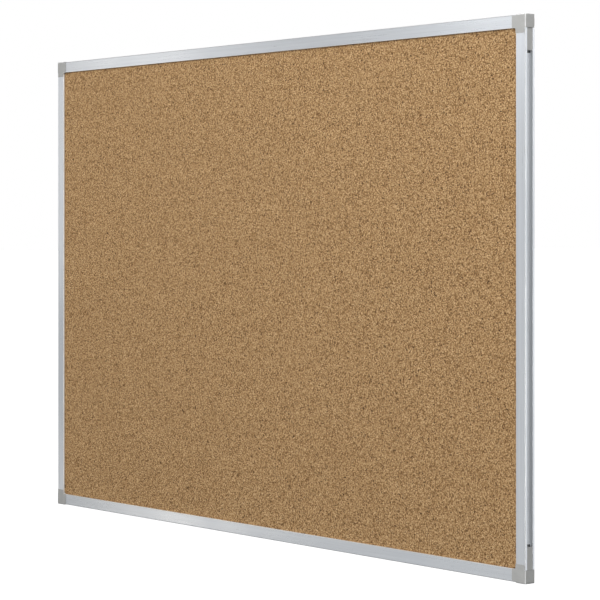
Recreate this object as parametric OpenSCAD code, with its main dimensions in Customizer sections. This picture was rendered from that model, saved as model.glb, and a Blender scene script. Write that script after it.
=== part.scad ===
// Cork bulletin board with an aluminium frame and moulded plastic corners.
// Frame of reference: +X to the right seen from the front, +Y back to the wall, +Z up.
// The origin is the middle of the board on the plane of the wall. The front faces -Y.
// All dimensions are in millimetres.

/* [Board] */
// Width over the outer faces of the side rails
board_width = 914.4; // [680:0.1:1800]
// Height over the outer faces of the top and bottom rails
board_height = 609.6; // [300:0.1:1200]

/* [Rail section] */
// Width of the rail's front face
face_width = 14.2; // [14.1:0.1:20]
// Depth of the rail from its front face to the wall
rail_depth = 14.4; // [14.4:0.1:16]
// Thickness of the extruded walls
rail_wall = 1.2; // [1.0:0.05:1.25]
// Height of the solid bar in front of the outer channel
front_lip = 3.1; // [2.5:0.1:4]
// Height of the solid bar behind the outer channel
rear_lip = 3.0; // [2.5:0.1:4]
// Depth of the outer channel from the rail's outer face to its floor
channel_depth = 3.0; // [2.8:0.1:3.4]
// Depth at which the front flange's inner lip touches the cork
inner_lip = 2.1; // [1.8:0.1:2.1]
// How far the rear flange reaches in from the outer face
rear_flange = 9.2; // [9:0.1:9.6]
// How far the rib behind the panel reaches in from the outer face
rib_reach = 10.0; // [9.6:0.1:11]

/* [Panel] */
// Gap left round the panel for swelling, measured from the rail's outer face
panel_inset = 6.7; // [5.5:0.1:8]
// Thickness of the cork sheet
cork_thickness = 2.2; // [1.5:0.1:2.2]
// Thickness of the fibreboard core
core_thickness = 4.9; // [4:0.1:4.9]
// Thickness of the sealed backing sheet
backing_thickness = 0.5; // [0.2:0.1:0.5]

/* [Corner pieces] */
// Side of the square corner block
block_size = 14.0; // [13:0.1:14]
// Length of the front plate's arms from the rail's outer faces
plate_arm = 20.0; // [17:0.5:30]
// How far the corner stands proud of the rail's front face
plate_raise = 0.5; // [0.3:0.1:1.2]
// How far the corner stands proud of the rail's outer faces
block_over = 0.8; // [0.2:0.1:1.2]
// Radius of the outer corner
corner_radius = 2.0; // [1:0.1:4]
// Radius of the front plate's inner corner
inner_radius = 2.2; // [1:0.1:5]
// Radius of the block's front edges
front_radius = 1.8; // [0.5:0.1:2.5]
// Radius of the block's edges against the wall
rear_radius = 2.2; // [0.5:0.1:3]
// Distance from the rail's outer face to the end of the corner's leg
leg_end = 38.6; // [30:0.1:60]
// Length of the lock window in the channel's floor
window_length = 4.2; // [3.2:0.1:6]
// Width of the lock window
window_width = 6.2; // [4:0.1:7]

/* [Wall hangers] */
// Distance of each hanger's keyhole from the middle of the board
hanger_offset = 304.8; // [20:0.1:420]
// Width of a hanger plate
hanger_width = 34; // [26:1:60]
// Distance from the top of the board to the centre of the keyhole's round mouth
keyhole_drop = 36; // [34:1:60]
// Radius of the keyhole's round mouth
keyhole_radius = 4.0; // [3.5:0.1:5]
// Width of the keyhole's slot
keyhole_slot = 4.2; // [3.2:0.1:4.8]
// Length of the keyhole's slot between the two centres
keyhole_travel = 12; // [8:1:14]
// Thickness of the hanger's steel sheet
hanger_sheet = 1.0; // [0.8:0.1:1.0]

/* [Hidden] */
$fn = 64;
// Clearance between parts that are fitted together
fit_gap = 0.05;
// Clearance that lets a corner's leg slide into the channel
leg_gap = 0.15;
// Depth of the leg's outer face below the rail's outer face
leg_recess = 0.5;
// How far the plate's arms stop short of the rails' outer faces
arm_inset = max(0.3, front_radius - block_over);
// How much of the lock window lies under the leg
window_lap = 1.5;
// The leg's snap barb: width, depth under the leg, drop of its tip and reach past the leg's end
barb_width = 1.6;
barb_depth = rail_wall + 0.8;
barb_drop = 0.9;
barb_reach = 1.1;
// Walls left round the cored-out back of the block, and the depth of the coring
core_wall = 2.0;
core_rib = 1.2;
core_depth = 3.0;
core_cell = (block_size - rear_radius - core_wall - core_rib) / 2;
// Rear edge and middle of the rail's outer channel, measured from the front
channel_top = rail_depth - rear_lip;
channel_middle = (front_lip + channel_top) / 2;
// Depth of the inside of the web
web_in = channel_depth + rail_wall;
// Layers of the panel, measured from the rail's front face
cork_front = inner_lip + fit_gap;
core_front = cork_front + cork_thickness + fit_gap;
backing_front = core_front + core_thickness + fit_gap;
panel_back = backing_front + backing_thickness;
// Rib behind the panel
rib_front = panel_back + 2 * fit_gap;
rib_wall = 1.0;
rib_back = rib_front + rib_wall;
// Slot between the rib and the rear flange
slot_back = rail_depth - rail_wall;
bead_width = 1.0;
bead_height = 0.9;
// Rails are cut square against the corner blocks
rail_cut = block_size + 2 * fit_gap;
top_length = board_width - 2 * rail_cut;
side_length = board_height - 2 * rail_cut;
// Hanger: a hem in the slot, a neck past the bead and a plate near the wall
hem_top = web_in + 0.3;
hem_bottom = rear_flange - bead_width - 0.2;
neck_front = rib_back + 0.15;
plate_back = rail_depth - 0.2;
plate_front = plate_back - hanger_sheet;
jog_top = rib_reach + 0.6;
jog_bottom = jog_top + 2.4;
hanger_bottom = keyhole_drop + 10;
hanger_radius = 5;

// Removes the sharp edge at a section's corner; sx and sy point out of the corner.
module edge_round(x, y, r, sx, sy)
    translate([x - sx * r, y - sy * r])
        difference() {
            translate([sx > 0 ? 0 : -r - 1, sy > 0 ? 0 : -r - 1])
                square(r + 1);
            circle(r);
        }

// Rail section: x runs in from the outer face, y runs back from the front face.
module rail_section()
    difference() {
        union() {
            square([face_width, rail_wall]);
            square([web_in, front_lip]);
            translate([face_width - rail_wall, 0])
                square([rail_wall, inner_lip]);
            translate([channel_depth, 0])
                square([rail_wall, rail_depth]);
            translate([0, channel_top])
                square([web_in, rear_lip]);
            translate([0, slot_back])
                square([rear_flange, rail_wall]);
            translate([web_in - 0.5, rib_front])
                square([rib_reach - web_in + 0.5, rib_wall]);
            translate([rear_flange - bead_width, slot_back - bead_height])
                square([bead_width, bead_height + 0.5]);
        }
        edge_round(0, 0, 1.0, -1, -1);
        edge_round(0, front_lip, 0.4, -1, 1);
        edge_round(0, channel_top, 0.4, -1, -1);
        edge_round(0, rail_depth, 0.8, -1, 1);
        edge_round(face_width, 0, 0.5, 1, -1);
        edge_round(face_width, inner_lip, 0.3, 1, 1);
        edge_round(rear_flange, rail_depth, 0.4, 1, 1);
    }

// A lock window through the channel's floor, at a distance from the board's outer face.
module lock_window(from_middle)
    translate([from_middle, channel_middle - window_width / 2 - rail_depth, -web_in - 0.5])
        cube([window_length, window_width, rail_wall + 1]);

// A rail as it lies along the top: outer face on z = 0, centred on x = 0.
module rail(length, overall)
    difference() {
        translate([-length / 2, -rail_depth, 0])
            rotate([0, 90, 0])
                linear_extrude(length)
                    rail_section();
        lock_window(overall / 2 - leg_end + window_lap - window_length);
        lock_window(-overall / 2 + leg_end - window_lap);
    }

// Turns a part drawn for the top edge or the top right corner round to another side.
module turned(angle, x, z)
    translate([x, 0, z])
        rotate([0, angle, 0])
            children();

// Extrudes an outline in x and z between two depths behind the rail's front face.
module slab(front, back)
    translate([0, back - rail_depth, 0])
        rotate([90, 0, 0])
            linear_extrude(back - front)
                children();

module block_outline()
    difference() {
        translate([-block_size, -block_size])
            square(block_size + block_over);
        edge_round(block_over, block_over, corner_radius, 1, 1);
    }

// A bar along z whose two edges on the outer side are rounded, one in front and one behind.
module rounded_bar()
    translate([0, -rail_depth, -block_size])
        linear_extrude(block_size + block_over)
            difference() {
                translate([-block_size, -plate_raise])
                    square([block_size + block_over, rail_depth + plate_raise]);
                edge_round(block_over, -plate_raise, front_radius, 1, -1);
                edge_round(block_over, rail_depth, rear_radius, 1, 1);
            }

// Extrudes an outline to the block's full depth and keeps only what lies inside both rounded bars.
module eased()
    intersection() {
        slab(-plate_raise, rail_depth)
            children();
        rounded_bar();
        mirror([1, 0, -1])
            rounded_bar();
    }

// The small web that rounds the inner corner of the front plate
module inner_fillet()
    translate([-face_width - inner_radius, -face_width - inner_radius])
        difference() {
            square(inner_radius + fit_gap);
            circle(inner_radius);
        }

// The two arms of the front plate, which stop short of the rails' outer faces
module plate_outline() {
    translate([-plate_arm, -face_width])
        square([plate_arm - arm_inset, face_width - arm_inset]);
    translate([-face_width, -plate_arm])
        square([face_width - arm_inset, plate_arm - arm_inset]);
    inner_fillet();
}

// One leg, which fills the outer channel of the side rail down to its lock window.
module leg() {
    channel_front = front_lip + leg_gap - rail_depth;
    channel_back = channel_top - leg_gap - rail_depth;
    barb_front = channel_middle - barb_width / 2 - rail_depth;
    floor_x = -channel_depth + leg_gap;
    // The bar in the channel
    translate([floor_x, channel_front, -leg_end])
        cube([-leg_recess - floor_x, channel_back - channel_front, leg_end - block_size + 0.5]);
    // The snap barb, which drops through the lock window and reaches on under it
    translate([floor_x - barb_depth, barb_front, -leg_end])
        cube([barb_depth + 0.3, barb_width, window_lap - leg_gap]);
    translate([floor_x - barb_depth, barb_front, -leg_end - barb_reach])
        cube([barb_depth - barb_drop, barb_width, barb_reach + 0.1]);
}

// The top right corner, with the board's outer corner on x = 0 and z = 0.
module corner_piece() {
    difference() {
        union() {
            eased()
                block_outline();
            slab(-plate_raise, -fit_gap)
                plate_outline();
            // The web goes down to the cork, clear of the rails' inner lips
            slab(-plate_raise / 2, inner_lip)
                translate([-2 * fit_gap, -2 * fit_gap])
                    inner_fillet();
        }
        // Pocket for the panel's corner
        translate([-block_size - 1, inner_lip - rail_depth, -block_size - 1])
            cube([block_size + 1 - web_in, rib_front - inner_lip, block_size + 1 - web_in]);
        // Coring of the block's back, with a cross rib
        for (x = [0, 1], z = [0, 1])
            translate([-block_size + core_wall + x * (core_cell + core_rib), -core_depth,
                       -block_size + core_wall + z * (core_cell + core_rib)])
                cube([core_cell, core_depth + 1, core_cell]);
    }
    leg();
    mirror([1, 0, -1])
        leg();
}

// A layer of the panel between two depths behind the rail's front face.
module panel_layer(front, back)
    translate([-board_width / 2 + panel_inset, front - rail_depth,
               -board_height / 2 + panel_inset])
        cube([board_width - 2 * panel_inset, back - front, board_height - 2 * panel_inset]);

// Side view of the hanger: x runs down from the top of the board, y back from the front face.
module hanger_profile()
    polygon([
        [hem_top, neck_front],
        [jog_top, neck_front],
        [jog_bottom, plate_front],
        [hanger_bottom, plate_front],
        [hanger_bottom, plate_back],
        [jog_bottom - 0.5, plate_back],
        [jog_top - 0.5, neck_front + hanger_sheet],
        [hem_bottom, neck_front + hanger_sheet],
        [hem_bottom, slot_back - 0.2],
        [hem_top, slot_back - 0.2]
    ]);

// Keyhole and rounded lower corners, cut from front to back through the plate.
module hanger_cuts()
    translate([0, 0, board_height / 2])
        slab(rib_front, rail_depth + 5) {
            translate([0, -keyhole_drop])
                circle(keyhole_radius);
            translate([0, keyhole_travel - keyhole_drop])
                circle(keyhole_slot / 2);
            translate([-keyhole_slot / 2, -keyhole_drop])
                square([keyhole_slot, keyhole_travel]);
            edge_round(hanger_width / 2, -hanger_bottom, hanger_radius, 1, -1);
            edge_round(-hanger_width / 2, -hanger_bottom, hanger_radius, -1, -1);
        }

module hanger(x)
    translate([x, 0, 0])
        difference() {
            translate([-hanger_width / 2, -rail_depth, board_height / 2])
                rotate([0, 90, 0])
                    linear_extrude(hanger_width)
                        hanger_profile();
            hanger_cuts();
        }

module rail_top()
    color([0.75, 0.76, 0.78])
        turned(0, 0, board_height / 2)
            rail(top_length, board_width);

module rail_bottom()
    color([0.75, 0.76, 0.78])
        turned(180, 0, -board_height / 2)
            rail(top_length, board_width);

module rail_left()
    color([0.75, 0.76, 0.78])
        turned(-90, -board_width / 2, 0)
            rail(side_length, board_height);

module rail_right()
    color([0.75, 0.76, 0.78])
        turned(90, board_width / 2, 0)
            rail(side_length, board_height);

module corner_top_left()
    color([0.66, 0.67, 0.67])
        turned(-90, -board_width / 2, board_height / 2)
            corner_piece();

module corner_top_right()
    color([0.66, 0.67, 0.67])
        turned(0, board_width / 2, board_height / 2)
            corner_piece();

module corner_bottom_left()
    color([0.66, 0.67, 0.67])
        turned(180, -board_width / 2, -board_height / 2)
            corner_piece();

module corner_bottom_right()
    color([0.66, 0.67, 0.67])
        turned(90, board_width / 2, -board_height / 2)
            corner_piece();

module cork_sheet()
    color([0.64, 0.51, 0.36])
        panel_layer(cork_front, cork_front + cork_thickness);

module fibreboard_core()
    color([0.47, 0.36, 0.24])
        panel_layer(core_front, core_front + core_thickness);

module backing_sheet()
    color([0.55, 0.47, 0.36])
        panel_layer(backing_front, panel_back);

module hanger_left()
    color([0.6, 0.61, 0.62])
        hanger(-hanger_offset);

module hanger_right()
    color([0.6, 0.61, 0.62])
        hanger(hanger_offset);

rail_top();
rail_bottom();
rail_left();
rail_right();
corner_top_left();
corner_top_right();
corner_bottom_left();
corner_bottom_right();
cork_sheet();
fibreboard_core();
backing_sheet();
hanger_left();
hanger_right();
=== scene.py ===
"""Looks of the cork bulletin board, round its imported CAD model. Metres; the front faces -Y."""

import math

import bpy
import numpy as np
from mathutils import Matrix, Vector


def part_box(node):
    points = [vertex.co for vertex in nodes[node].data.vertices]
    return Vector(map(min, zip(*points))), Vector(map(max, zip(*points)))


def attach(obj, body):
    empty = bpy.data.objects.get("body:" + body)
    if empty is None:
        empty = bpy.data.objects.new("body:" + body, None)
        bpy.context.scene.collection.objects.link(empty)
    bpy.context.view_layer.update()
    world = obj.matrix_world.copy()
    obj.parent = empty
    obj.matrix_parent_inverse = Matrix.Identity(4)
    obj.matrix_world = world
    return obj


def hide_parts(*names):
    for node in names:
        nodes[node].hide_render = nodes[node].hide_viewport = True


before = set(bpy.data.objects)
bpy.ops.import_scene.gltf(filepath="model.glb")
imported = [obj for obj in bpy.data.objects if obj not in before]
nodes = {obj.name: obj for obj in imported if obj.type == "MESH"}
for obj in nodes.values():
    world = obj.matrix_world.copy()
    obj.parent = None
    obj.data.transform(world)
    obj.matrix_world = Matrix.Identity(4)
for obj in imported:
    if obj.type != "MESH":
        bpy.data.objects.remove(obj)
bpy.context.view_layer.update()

MM = 0.001
SEED = 7

RAILS_X = ("rail_top", "rail_bottom")
RAILS_Z = ("rail_left", "rail_right")
CORNERS_LEFT = ("corner_top_left", "corner_bottom_left")
CORNERS_RIGHT = ("corner_top_right", "corner_bottom_right")
HANGERS = ("hanger_left", "hanger_right")

WHITE = (1.0, 1.0, 1.0, 1.0)


def srgb(r, g, b):
    """A colour given as 0 to 255 on screen, as Blender's linear RGBA."""
    return [
        c / 12.92 if c <= 0.04045 else ((c + 0.055) / 1.055) ** 2.4
        for c in (r / 255, g / 255, b / 255)
    ] + [1.0]


# ---------------------------------------------------------------- node helper


class Graph:
    """Builds a node tree with short calls. Distances inside materials are metres."""

    def __init__(self, tree):
        self.tree = tree
        self.tree.nodes.clear()
        self.coord = self.node("ShaderNodeTexCoord")
        self.place = self.coord.outputs["Object"]

    def node(self, kind, **props):
        n = self.tree.nodes.new(kind)
        for k, v in props.items():
            setattr(n, k, v)
        return n

    def feed(self, socket, value):
        """Gives an input a number, a colour or another node's output."""
        if isinstance(value, bpy.types.NodeSocket):
            self.tree.links.new(value, socket)
        else:
            socket.default_value = value

    def make(self, kind, inputs, want=0, **props):
        """Adds a node, feeds its inputs by name or number, and gives the output called want."""
        n = self.node(kind, **props)
        for k, v in inputs.items():
            self.feed(n.inputs[k], v)
        return n.outputs[want]

    def stretched(self, x, y, z):
        """The object's coordinates with each axis scaled."""
        return self.make("ShaderNodeMapping", {"Vector": self.place, "Scale": (x, y, z)})

    def parts(self, vector):
        """A vector's X, Y and Z."""
        n = self.node("ShaderNodeSeparateXYZ")
        self.feed(n.inputs[0], vector)
        return n.outputs

    def noise(self, vector, scale, detail=2.0, roughness=0.5, distortion=0.0, want="Fac"):
        inputs = {
            "Vector": vector,
            "Scale": scale,
            "Detail": detail,
            "Roughness": roughness,
            "Distortion": distortion,
        }
        return self.make("ShaderNodeTexNoise", inputs, want)

    def voronoi(self, vector, scale, feature="F1", want="Distance"):
        inputs = {"Vector": vector, "Scale": scale}
        return self.make("ShaderNodeTexVoronoi", inputs, want, feature=feature)

    def cell_values(self, vector, scale):
        """One random value from 0 to 1 for each Voronoi cell."""
        colour = self.voronoi(vector, scale, want="Color")
        return self.make("ShaderNodeSeparateColor", {0: colour})

    def ramp(self, fac, stops):
        n = self.node("ShaderNodeValToRGB")
        while len(n.color_ramp.elements) < len(stops):
            n.color_ramp.elements.new(0.5)
        for e, (pos, colour) in zip(n.color_ramp.elements, stops):
            e.position = pos
            e.color = colour
        self.feed(n.inputs["Fac"], fac)
        return n.outputs["Color"]

    def mix(self, fac, a, b):
        """Colour a where fac is 0 and colour b where it is 1."""
        return self.make("ShaderNodeMix", {0: fac, 6: a, 7: b}, 2, data_type="RGBA")

    def math(self, operation, a, b=0.0, clamp=False):
        return self.make("ShaderNodeMath", {0: a, 1: b}, operation=operation, use_clamp=clamp)

    def vector_math(self, operation, a, b, want="Vector"):
        return self.make("ShaderNodeVectorMath", {0: a, 1: b}, want, operation=operation)

    def weighted(self, *pairs):
        """The sum of each value times its weight."""
        total = None
        for value, weight in pairs:
            term = self.math("MULTIPLY", value, weight)
            total = term if total is None else self.math("ADD", total, term)
        return total

    def remap(self, value, lo, hi, to_lo=0.0, to_hi=1.0, smooth=False):
        inputs = {"Value": value, "From Min": lo, "From Max": hi, "To Min": to_lo, "To Max": to_hi}
        kind = "SMOOTHSTEP" if smooth else "LINEAR"
        return self.make("ShaderNodeMapRange", inputs, "Result", interpolation_type=kind)


EDGE_RADIUS = 0.4 * MM
MASK_FADE = 0.1 * MM


class Material(Graph):
    """A material with one Principled shader."""

    def __init__(self, name):
        self.mat = bpy.data.materials.new(name)
        self.mat.use_nodes = True
        super().__init__(self.mat.node_tree)
        out = self.node("ShaderNodeOutputMaterial")
        self.shader = self.node("ShaderNodeBsdfPrincipled")
        self.feed(out.inputs["Surface"], self.shader.outputs["BSDF"])

    def set(self, **values):
        """Principled inputs by name, with _ for a space."""
        for name, value in values.items():
            self.feed(self.shader.inputs[name.replace("_", " ")], value)

    def normal(self):
        return self.node("ShaderNodeNewGeometry").outputs["Normal"]

    def bump(self, height, strength, distance):
        inputs = {"Height": height, "Strength": strength, "Distance": distance}
        return self.make("ShaderNodeBump", inputs)

    def near(self, value, middle, reach):
        """1 where value is within reach of middle, fading to 0 just past it."""
        off = self.math("ABSOLUTE", self.math("SUBTRACT", value, middle))
        return self.remap(off, reach, reach + MASK_FADE, 1.0, 0.0)

    def edges(self):
        """1 along sharp edges, fading to 0 at about EDGE_RADIUS from them."""
        rounded = self.make("ShaderNodeBevel", {"Radius": EDGE_RADIUS}, samples=6)
        same = self.vector_math("DOT_PRODUCT", rounded, self.normal(), "Value")
        return self.remap(same, 0.97, 0.80)

    def rounds(self):
        """1 on a rounded edge where it faces halfway between two axes, 0 on flat faces."""
        normal = self.normal()
        square = self.parts(self.vector_math("MULTIPLY", normal, normal))
        most = self.math("MAXIMUM", square["X"], square["Y"])
        most = self.math("MAXIMUM", most, square["Z"])
        return self.remap(most, 0.90, 0.60)

    def crevices(self, distance, own=False):
        """1 deep in a recess or along a seam, 0 in the open. own leaves other pieces out of it."""
        inputs = {"Distance": distance}
        openness = self.make("ShaderNodeAmbientOcclusion", inputs, "AO", samples=6, only_local=own)
        return self.math("SUBTRACT", 1.0, openness, clamp=True)


# ------------------------------------------------------------------ materials

# The rails' section. Depths are measured in from the outer side.
FACE_WIDTH = 14.2 * MM
CHANNEL_FLOOR_DEPTH = 3.65 * MM
CHANNEL_FLOOR_HALF = 0.45 * MM
WINDOW_MIDDLE_Y = -7.2 * MM
WINDOW_HALF = 3.6 * MM

# Near black, for painted shade in the lock windows and closed cavities
WINDOW_PAINTED_SHADE = srgb(30, 32, 35)


def aluminium(name, along, outward, outer):
    """Satin anodised aluminium: extrusion lines along one axis; painted shade, a rougher finish
    and less metal in its channels and recesses; edge wear and painted highlights along its edges.

    outward is the axis that its outer channel faces, and outer how far out that side lies.
    """
    g = Material(name)
    axis = "xyz".index(along)
    place = g.parts(g.place)
    out = g.math("ABSOLUTE", place[outward])

    def drawn(across, lengthwise, detail):
        """Noise drawn out along the rail."""
        scale = [across] * 3
        scale[axis] = lengthwise
        return g.noise(g.stretched(*scale), 1.0, detail, 0.6)

    # The anodised surface
    lines = drawn(2600.0, 14.0, 3.0)
    bands = drawn(260.0, 2.5, 2.0)
    clouds = g.noise(g.place, 7.0, 3.0, 0.55)
    specks = g.noise(g.place, 3400.0, 2.0, 0.7)
    streaks = g.weighted((lines, 0.6), (bands, 0.4))
    tone = g.ramp(streaks, [(0.30, srgb(198, 201, 205)), (0.70, srgb(220, 223, 227))])
    tone = g.mix(g.remap(clouds, 0.35, 0.65, 0.0, 0.30), tone, srgb(204, 209, 217))
    tone = g.mix(g.remap(specks, 0.58, 0.75, 0.0, 0.20), tone, srgb(178, 180, 184))

    # Painted shade: darker and duller in recesses, and near black deep in closed cavities and on
    # the walls of the lock windows cut through the channel's floor
    recess_shade_and_dullness = g.remap(g.crevices(8 * MM, own=True), 0.05, 0.25, 0.0, 0.85)
    tone = g.mix(recess_shade_and_dullness, tone, srgb(182, 186, 189))
    # Painted shade, near black, deep in closed cavities
    tone = g.mix(g.remap(g.crevices(8 * MM), 0.72, 0.90, 0.0, 0.95), tone, WINDOW_PAINTED_SHADE)
    # Painted shade, near black, on the walls of the lock windows
    channel_floor = g.near(out, outer - CHANNEL_FLOOR_DEPTH, CHANNEL_FLOOR_HALF)
    window_shade = g.math("MULTIPLY", channel_floor, g.near(place["Y"], WINDOW_MIDDLE_Y, WINDOW_HALF))
    tone = g.mix(g.math("MULTIPLY", window_shade, 0.95), tone, WINDOW_PAINTED_SHADE)

    # Edge wear and a painted highlight along edges and rounds, and a painted highlight on the
    # small radius where the front face turns down to the cork
    wear_and_highlight = g.math("MAXIMUM", g.edges(), g.rounds())
    wear_and_highlight = g.math("MULTIPLY", wear_and_highlight, g.math("SUBTRACT", 1.0, window_shade))
    inner = outer - FACE_WIDTH
    # Painted highlight: a bright line along the front face's inner edge, next to the cork
    rim = g.remap(out, inner + 0.8 * MM, inner + 0.3 * MM)
    rim = g.math("MULTIPLY", rim, g.remap(place["Y"], -12.3 * MM, -12.5 * MM))
    wear_and_highlight = g.math("MAXIMUM", wear_and_highlight, rim)
    wear_and_highlight = g.math("MULTIPLY", wear_and_highlight, g.remap(bands, 0.35, 0.6, 0.6, 0.95))
    wear_and_highlight = g.math("MULTIPLY", wear_and_highlight, g.math("SUBTRACT", 1.0, recess_shade_and_dullness))
    tone = g.mix(wear_and_highlight, tone, srgb(242, 241, 238))

    cloudy = g.remap(clouds, 0.3, 0.7, -0.03, 0.03)
    rough = g.math("ADD", g.remap(lines, 0.3, 0.7, 0.27, 0.37), cloudy)
    rough = g.math("ADD", rough, g.math("MULTIPLY", recess_shade_and_dullness, 0.5))
    metal = g.remap(wear_and_highlight, 0.0, 1.0, 0.75, 0.5)
    tangent = g.node("ShaderNodeTangent", direction_type="RADIAL", axis=along.upper())
    g.set(
        Base_Color=tone,
        Metallic=g.math("SUBTRACT", metal, g.math("MULTIPLY", recess_shade_and_dullness, 0.45)),
        Roughness=g.math("SUBTRACT", rough, g.math("MULTIPLY", wear_and_highlight, 0.05)),
        Anisotropic=0.6,
        Tangent=tangent.outputs[0],
        Normal=g.bump(streaks, 0.10, 0.15 * MM),
    )
    return g.mat


def moulded_plastic(name, low, high):
    """Grey moulded plastic with a fine spark texture, painted shade in its crevices and seams, and
    a painted highlight along its front edges.

    low and high are the darkest and palest screen greys of its clouding.
    """
    g = Material(name)
    spark = g.noise(g.place, 2600.0, 2.0, 0.6)
    pits = g.voronoi(g.place, 1900.0)
    clouds = g.noise(g.place, 60.0, 3.0, 0.6)
    tone = g.ramp(clouds, [(0.30, srgb(low, low, low - 2)), (0.70, srgb(high, high, high - 2))])
    tone = g.mix(g.remap(spark, 0.35, 0.7, 0.0, 0.35), tone, srgb(low - 13, low - 13, low - 14))
    # Painted shade: darker in crevices and along seams
    tone = g.mix(g.remap(g.crevices(4 * MM), 0.35, 0.8, 0.0, 0.9), tone, srgb(56, 57, 59))
    # Painted highlight: paler along the front edges and their rounds
    near_front = g.remap(g.parts(g.place)["Y"], -10.0 * MM, -12.5 * MM)
    front_edge_highlight = g.math("MULTIPLY", g.math("MAXIMUM", g.edges(), g.rounds()), near_front)
    front_edge_highlight = g.math("MULTIPLY", front_edge_highlight, g.remap(clouds, 0.4, 0.6, 0.6, 0.95))
    tone = g.mix(front_edge_highlight, tone, srgb(232, 232, 231))
    g.set(
        Base_Color=tone,
        Roughness=g.remap(spark, 0.3, 0.7, 0.30, 0.42),
        Specular_IOR_Level=0.32,
        Normal=g.bump(g.weighted((spark, 0.7), (pits, 0.3)), 0.25, 0.12 * MM),
    )
    return g.mat


CHIPS_PER_METRE = 1080.0
CRUMBS_PER_METRE = 2000.0
LUMPS_PER_METRE = 520.0
FLECKS_PER_METRE = 820.0


def cork(name):
    """Pressed cork granules. The sheet's "grain" attribute says how high and pale each one is."""
    g = Material(name)
    # Coordinates pushed about, so that the cells have uneven outlines
    wobble = g.noise(g.place, 900.0, 2.0, 0.6, want="Color")
    wobble = g.vector_math("SUBTRACT", wobble, (0.5, 0.5, 0.5))
    place = g.vector_math("ADD", g.place, g.vector_math("MULTIPLY", wobble, (1.2 * MM,) * 3))

    grain = g.node("ShaderNodeAttribute", attribute_name="grain").outputs["Fac"]
    chips = g.cell_values(place, CHIPS_PER_METRE)
    crumbs = g.cell_values(place, CRUMBS_PER_METRE)
    lumps = g.remap(g.voronoi(place, LUMPS_PER_METRE), 0.12, 0.62, 1.0, 0.0)
    tone = g.ramp(
        g.weighted((grain, 0.10), (chips, 0.34), (crumbs, 0.14), (lumps, 0.42)),
        [
            (0.10, srgb(75, 47, 24)),
            (0.24, srgb(134, 99, 60)),
            (0.42, srgb(177, 142, 98)),
            (0.60, srgb(200, 165, 120)),
            (0.78, srgb(230, 199, 152)),
        ],
    )
    # Cells of the wood inside each grain
    inside = g.noise(g.place, 5200.0, 3.0, 0.65)
    tone = g.mix(g.remap(inside, 0.40, 0.70, 0.0, 0.25), tone, srgb(144, 110, 70))
    # Bark: scattered dark flecks
    bark = g.cell_values(place, FLECKS_PER_METRE)
    tone = g.mix(g.remap(bark, 0.07, 0.045, 0.0, 0.9), tone, srgb(62, 36, 17))
    # Gaps between the chips
    to_edge = g.voronoi(place, CHIPS_PER_METRE, "DISTANCE_TO_EDGE")
    gap = g.remap(to_edge, 0.0, 0.09, 0.45, 0.0)
    tone = g.mix(gap, tone, srgb(96, 64, 36))
    height = g.math("SUBTRACT", g.math("MULTIPLY", inside, 0.35), gap)
    g.set(
        Base_Color=tone,
        Roughness=g.remap(inside, 0.3, 0.7, 0.78, 0.92),
        Specular_IOR_Level=0.25,
        Normal=g.bump(height, 0.5, 0.4 * MM),
    )
    return g.mat


def fibreboard(name):
    """Pressed wood fibre, mostly hidden between the cork and the backing."""
    g = Material(name)
    fibres = g.noise(g.stretched(500.0, 1500.0, 500.0), 1.0, 4.0, 0.65, 0.6)
    tone = g.ramp(fibres, [(0.3, srgb(92, 70, 46)), (0.7, srgb(146, 118, 84))])
    g.set(Base_Color=tone, Roughness=0.92, Normal=g.bump(fibres, 0.4, 0.3 * MM))
    return g.mat


def backing_paper(name):
    """Kraft paper with short fibres, faint rollers' bands and a few scuffs."""
    g = Material(name)
    fibres = g.noise(g.stretched(900.0, 900.0, 260.0), 1.0, 4.0, 0.6, 0.8)
    flecks = g.noise(g.stretched(420.0, 420.0, 2400.0), 1.0, 2.0, 0.6, 1.2)
    bands = g.noise(g.stretched(9.0, 9.0, 0.6), 1.0, 2.0, 0.5)
    clouds = g.noise(g.place, 14.0, 4.0, 0.6)
    scuffs = g.noise(g.stretched(30.0, 30.0, 160.0), 1.0, 5.0, 0.7, 2.0)
    tone = g.ramp(fibres, [(0.30, srgb(160, 132, 98)), (0.70, srgb(186, 160, 124))])
    tone = g.mix(g.remap(clouds, 0.3, 0.7, 0.0, 0.35), tone, srgb(152, 125, 92))
    tone = g.mix(g.remap(bands, 0.4, 0.6, 0.0, 0.25), tone, srgb(190, 166, 132))
    tone = g.mix(g.remap(flecks, 0.66, 0.74, 0.0, 0.6), tone, srgb(112, 84, 54))
    tone = g.mix(g.remap(scuffs, 0.63, 0.70, 0.0, 0.4), tone, srgb(204, 182, 150))
    g.set(
        Base_Color=tone,
        Roughness=g.remap(fibres, 0.3, 0.7, 0.70, 0.85),
        Specular_IOR_Level=0.3,
        Normal=g.bump(fibres, 0.25, 0.2 * MM),
    )
    return g.mat


def zinc(name):
    """Zinc-plated sheet steel with a fine spangle, rubbed brighter along its edges."""
    g = Material(name)
    spangle = g.cell_values(g.place, 320.0)
    haze = g.noise(g.place, 900.0, 3.0, 0.6)
    streaks = g.noise(g.stretched(60.0, 900.0, 2400.0), 1.0, 3.0, 0.6)
    tone = g.ramp(spangle, [(0.1, srgb(172, 176, 182)), (0.9, srgb(206, 209, 214))])
    tone = g.mix(g.remap(haze, 0.45, 0.7, 0.0, 0.3), tone, srgb(160, 158, 150))
    rubbed = g.edges()
    tone = g.mix(g.math("MULTIPLY", rubbed, 0.7), tone, srgb(226, 228, 231))
    rough = g.remap(haze, 0.3, 0.7, 0.30, 0.46)
    g.set(
        Base_Color=tone,
        Metallic=0.9,
        Roughness=g.math("SUBTRACT", rough, g.math("MULTIPLY", rubbed, 0.08)),
        Normal=g.bump(g.math("ADD", haze, streaks), 0.10, 0.1 * MM),
    )
    return g.mat


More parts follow.
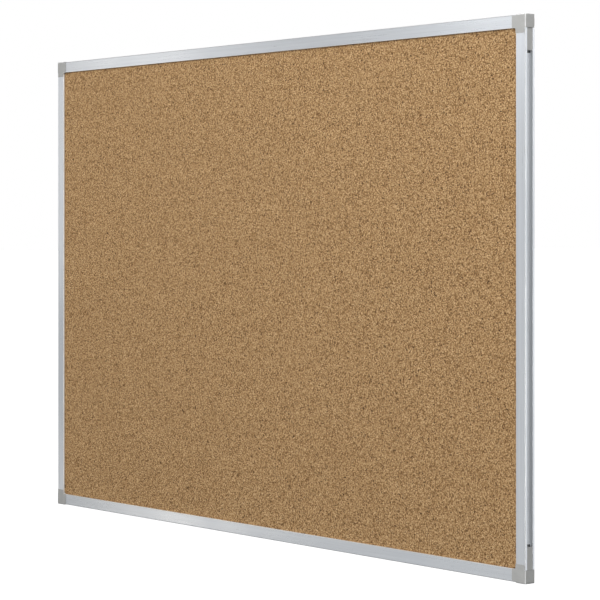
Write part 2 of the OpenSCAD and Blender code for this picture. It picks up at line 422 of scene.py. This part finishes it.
def dress(names, material):
    """Gives CAD pieces their material."""
    for name in names:
        data = nodes[name].data
        data.materials.clear()
        data.materials.append(material)


dress(RAILS_X, aluminium("anodised_along_x", "x", "Z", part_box("rail_top")[1].z))
dress(RAILS_Z, aluminium("anodised_along_z", "z", "X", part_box("rail_right")[1].x))
# Lit and shaded copies of one plastic: the left corners get darker greys as painted shade
dress(CORNERS_LEFT, moulded_plastic("grey_moulded_plastic_left_painted_shade", 153, 163))
dress(CORNERS_RIGHT, moulded_plastic("grey_moulded_plastic_right", 165, 174))
dress(HANGERS, zinc("zinc_plated_steel"))
dress(["fibreboard_core"], fibreboard("fibreboard"))
dress(["backing_sheet"], backing_paper("backing_paper"))


# ------------------------------------------------------------ the cork sheet

GRAIN_PITCH = 2.36 * MM
GRAIN_SHIFT = 0.34
PIT_DEPTH = 0.45 * MM
PIT_SHARPNESS = 2.5
RIM_GRAIN = 0.5


def stratified(shape, rng):
    """Random values from 0 to 1. Each 2 by 2 block has one from each quarter, so none clump."""
    rows, cols = (n + n % 2 for n in shape)
    quarter = rng.random((rows // 2, cols // 2, 4)).argsort(-1)
    values = (quarter + rng.random(quarter.shape)) / 4
    grid = values.reshape(rows // 2, cols // 2, 2, 2).swapaxes(1, 2).reshape(rows, cols)
    return grid[: shape[0], : shape[1]]


def cork_sheet():
    """The sheet with its face as uneven granules and pits. It stays inside the CAD sheet."""
    rng = np.random.default_rng(SEED)
    lo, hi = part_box("cork_sheet")
    nx = round((hi.x - lo.x) / GRAIN_PITCH)
    nz = round((hi.z - lo.z) / GRAIN_PITCH)
    x, z = np.meshgrid(np.linspace(lo.x, hi.x, nx + 1), np.linspace(lo.z, hi.z, nz + 1))
    inner = np.zeros(x.shape, bool)
    inner[1:-1, 1:-1] = True
    x += inner * rng.uniform(-GRAIN_SHIFT, GRAIN_SHIFT, x.shape) * GRAIN_PITCH
    z += inner * rng.uniform(-GRAIN_SHIFT, GRAIN_SHIFT, x.shape) * GRAIN_PITCH
    grain = stratified(x.shape, rng)
    y = lo.y + inner * (1 - grain) ** PIT_SHARPNESS * PIT_DEPTH
    face = np.stack([x, y, z], -1).reshape(-1, 3)

    # Two triangles to each cell, split along either diagonal
    index = np.arange(x.size).reshape(x.shape)
    a, b, c, d = index[:-1, :-1], index[:-1, 1:], index[1:, 1:], index[1:, :-1]
    flip = rng.random(a.shape) < 0.5
    first = np.where(flip[..., None], np.stack([a, b, c], -1), np.stack([a, b, d], -1))
    second = np.where(flip[..., None], np.stack([a, c, d], -1), np.stack([b, c, d], -1))
    faces = np.concatenate([first.reshape(-1, 3), second.reshape(-1, 3)]).tolist()

    # The four sides and the flat back
    rim = np.concatenate([index[0, :-1], index[:-1, -1], index[-1, :0:-1], index[:0:-1, 0]])
    back = face[rim] * (1, 0, 1) + (0, hi.y, 0)
    start = len(face)
    count = len(rim)
    for i in range(count):
        j = (i + 1) % count
        faces.append([int(rim[j]), int(rim[i]), start + i, start + j])
    faces.append([start + i for i in range(count)][::-1])

    mesh = bpy.data.meshes.new("cork_granules")
    mesh.from_pydata(np.concatenate([face, back]).tolist(), [], faces)
    shade = mesh.attributes.new("grain", "FLOAT", "POINT")
    values = np.concatenate([grain.ravel(), np.full(count, RIM_GRAIN)])
    shade.data.foreach_set("value", values.astype(np.float32))
    smooth = np.zeros(len(mesh.polygons), bool)
    smooth[: a.size * 2] = True
    mesh.polygons.foreach_set("use_smooth", smooth)
    mesh.materials.append(cork("cork"))
    mesh.validate()
    sheet = bpy.data.objects.new("cork_granules", mesh)
    bpy.context.scene.collection.objects.link(sheet)
    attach(sheet, "board")
    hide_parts("cork_sheet")


cork_sheet()

# ---------------------------------------------------------- camera and stage

rail_lo, rail_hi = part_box("rail_top")
front = rail_lo.y
top = rail_hi.z

VIEW_AZIMUTH = math.radians(50.956)
EYE = (2.171, front - 1.700, top - 0.231)
SENSOR_WIDTH = 36.0
LENS = 134.8
# The camera looks level from a little above the board's middle, so its frame is shifted down
FRAME_SHIFT = -0.117

camera = bpy.data.cameras.new("camera")
camera.sensor_width = SENSOR_WIDTH
camera.lens = LENS
camera.shift_y = FRAME_SHIFT
camera.clip_start = 0.05
camera.clip_end = 200
eye = bpy.data.objects.new("camera", camera)
eye.location = EYE
eye.rotation_euler = (math.pi / 2, 0, VIEW_AZIMUTH)
bpy.context.scene.collection.objects.link(eye)
bpy.context.scene.camera = eye

HANGING_HEIGHT = 1.6
FLOOR_SIZE = 300


def pale_floor():
    """The white floor of a room, well below a board at eye height. It lights nothing above it."""
    g = Material("floor")
    soft = g.noise(g.place, 3.0, 2.0)
    g.set(
        Base_Color=g.ramp(soft, [(0.0, srgb(250, 250, 250)), (1.0, srgb(254, 254, 254))]),
        Roughness=0.9,
        Emission_Color=WHITE,
        Emission_Strength=0.8,
    )
    bpy.ops.mesh.primitive_plane_add(size=FLOOR_SIZE, location=(0, 0, -HANGING_HEIGHT))
    floor = bpy.context.object
    floor.name = "floor"
    floor.data.materials.append(g.mat)
    floor.visible_diffuse = floor.visible_glossy = floor.visible_shadow = False


pale_floor()

# The room's soft light: a grey level all round, and broad glows, each with the direction it comes
# from, the angle in degrees at which it has faded to nothing, and its strength.
ROOM_GREY = 0.08
ROOM_TINT = (0.985, 0.995, 1.0, 1.0)
GLOWS = (
    ((0.0, 0.0, 1.0), 70, 0.45),
    ((0.72, 0.69, -0.03), 26, 1.75),
    ((-0.50, -0.87, -0.12), 42, 0.76),
    ((0.78, -0.62, 0.00), 45, 0.4),
)


def studio_world():
    """A plain white backdrop, with the light of a soft grey room."""
    world = bpy.data.worlds.new("studio")
    bpy.context.scene.world = world
    world.use_nodes = True
    g = Graph(world.node_tree)
    direction = g.coord.outputs["Generated"]
    light = ROOM_GREY
    for towards, fade, strength in GLOWS:
        near = g.vector_math("DOT_PRODUCT", direction, Vector(towards).normalized(), "Value")
        glow = g.remap(near, math.cos(math.radians(fade)), 1.0, 0.0, strength, smooth=True)
        light = g.math("ADD", light, glow)
    room = g.make("ShaderNodeBackground", {"Color": ROOM_TINT, "Strength": light})
    backdrop = g.make("ShaderNodeBackground", {"Color": WHITE})
    seen = g.node("ShaderNodeLightPath").outputs["Is Camera Ray"]
    either = g.make("ShaderNodeMixShader", {0: seen, 1: room, 2: backdrop})
    out = g.node("ShaderNodeOutputWorld")
    g.feed(out.inputs["Surface"], either)


studio_world()


def softbox(name, place, width, height, power, colour=(1.0, 1.0, 1.0)):
    """An area light that faces the middle of the board."""
    light = bpy.data.lights.new(name, "AREA")
    light.color = colour
    light.shape = "RECTANGLE"
    light.size = width
    light.size_y = height
    light.energy = power
    o = bpy.data.objects.new(name, light)
    o.location = place
    o.rotation_mode = "QUATERNION"
    o.rotation_quaternion = (-Vector(place)).to_track_quat("-Z", "Y")
    bpy.context.scene.collection.objects.link(o)


# The main lights
softbox("key_above_front", (0.2, -2.4, 1.7), 1.2, 1.2, 54)
softbox("window_beside_viewer", (3.0, -2.2, -0.1), 0.5, 1.7, 24)
softbox("fill_behind_left", (-1.5, 2.5, 1.0), 1.4, 1.4, 60)
# Weak panels, which give the rails their brighter stretches
softbox("panel_at_right", (1.25, -0.45, 0.95), 0.5, 0.5, 6)
softbox("tall_panel_at_left", (-1.23, -0.69, 0.35), 0.28, 0.8, 0.70, (1.0, 0.97, 0.93))
softbox("panel_for_top_right", (-0.34, -0.86, 0.49), 0.35, 0.35, 0.5)
softbox("panel_behind_top_right", (1.23, 0.63, 0.42), 0.3, 0.3, 0.22)
softbox("panel_low_at_left", (-1.09, -0.69, -0.45), 0.22, 0.3, 0.23, (1.0, 0.93, 0.84))

bpy.context.scene.view_settings.view_transform = "Standard"
